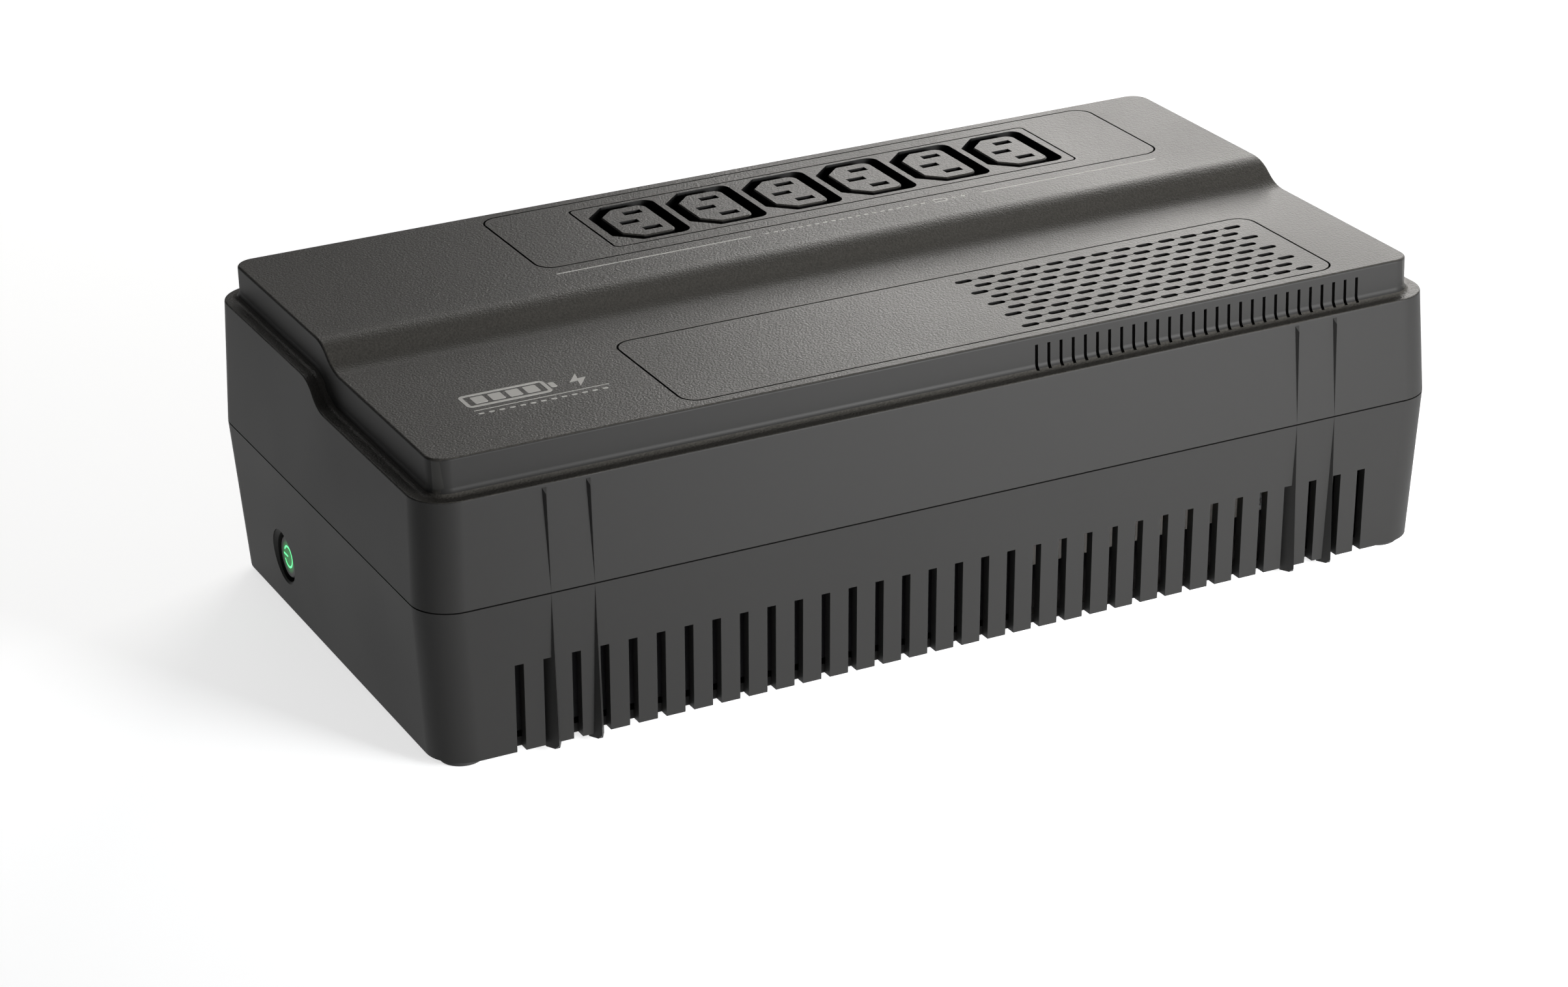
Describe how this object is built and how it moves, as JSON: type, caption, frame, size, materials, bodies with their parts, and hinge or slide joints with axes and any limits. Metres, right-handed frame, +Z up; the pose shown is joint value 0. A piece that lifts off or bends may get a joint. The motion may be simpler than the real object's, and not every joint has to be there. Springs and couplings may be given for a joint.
{
  "type": "uninterruptible power supply",
  "caption": "Low flat uninterruptible power supply with a stepped top, a row of outlets, a perforated vent panel, slotted base and a lit end button.",
  "frame": {"origin": "centre of the underside, on the plane of the feet", "axes": "+X along the length towards the inlet end, +Y to the back (outlet side), +Z up"},
  "size_m": [0.305, 0.16, 0.0921],
  "materials": {
    "cover_plastic": "fine grain",
    "tray_plastic": "smooth satin",
    "panel_plastic": "fine grain",
    "contact_brass": "drawn",
    "lead_insulation": "smooth",
    "red_insulation": "smooth",
    "battery_plastic": "satin",
    "battery_lead_metal": "dull",
    "board_laminate": "solder mask",
    "cast_aluminium": "extruded",
    "component_black": "moulded",
    "fuse_glass": "clear",
    "core_steel": "laminated, varnished",
    "bobbin_plastic": "moulded",
    "winding_tape": "wrapped tape",
    "zinc_steel": "zinc plated",
    "button_plastic": "satin",
    "lit_lens": "lit from behind",
    "lamp_lens": "clear tinted",
    "inlet_plastic": "moulded",
    "nickel_steel": "plated",
    "foot_rubber": "matte",
    "pad_foam": "closed-cell foam"
  },
  "bodies": {
    "case": {"base_tray": "tray_plastic", "battery_case": "battery_plastic", "battery_floor_pad": "pad_foam", "battery_hold_pad": "pad_foam", "battery_lead_black": "lead_insulation", "battery_lead_red": "red_insulation", "battery_lid": "battery_plastic", "battery_plates": "battery_lead_metal", "battery_terminals": "contact_brass", "board_connectors": "component_black", "board_fuse": "fuse_glass", "board_screws": "zinc_steel", "breaker_body": "inlet_plastic", "breaker_nut": "nickel_steel", "button_board": "board_laminate", "buzzer": "component_black", "capacitors": "component_black", "case_screws": "zinc_steel", "control_chip": "component_black", "earth_bus_bar": "contact_brass", "foot_back_left": "foot_rubber", "foot_back_right": "foot_rubber", "foot_front_left": "foot_rubber", "foot_front_right": "foot_rubber", "heatsink": "cast_aluminium", "inlet_housing": "inlet_plastic", "inlet_pins": "contact_brass", "inlet_screws": "nickel_steel", "live_bus_bar": "contact_brass", "main_board": "board_laminate", "mains_leads": "lead_insulation", "neutral_bus_bar": "contact_brass", "outlet_block": "panel_plastic", "outlet_contacts": "contact_brass", "outlet_core_1": "panel_plastic", "outlet_core_2": "panel_plastic", "outlet_core_3": "panel_plastic", "outlet_core_4": "panel_plastic", "outlet_core_5": "panel_plastic", "outlet_core_6": "panel_plastic", "outlet_leads": "lead_insulation", "outlet_panel": "panel_plastic", "power_transistors": "component_black", "relays": "component_black", "status_led": "lamp_lens", "switch_housing": "component_black", "top_cover": "cover_plastic", "transformer_bobbin": "bobbin_plastic", "transformer_core": "core_steel", "transformer_frame": "zinc_steel", "transformer_screws": "zinc_steel", "transformer_winding": "winding_tape", "vent_panel": "panel_plastic"},
    "power_button": {"power_button": "button_plastic", "power_lens": "lit_lens", "switch_plunger": "button_plastic"},
    "breaker_button": {"breaker_button": "inlet_plastic"}
  },
  "joints": [
    {"name": "power_button_press", "type": "slide", "parent": "case", "child": "power_button", "axis": [1, 0, 0], "range_m": [0, 0.0012], "stiffness_N_per_m": 300, "springref_m": -0.004},
    {"name": "breaker_reset", "type": "slide", "parent": "case", "child": "breaker_button", "axis": [1, 0, 0], "range_m": [0, 0.003]}
  ]
}
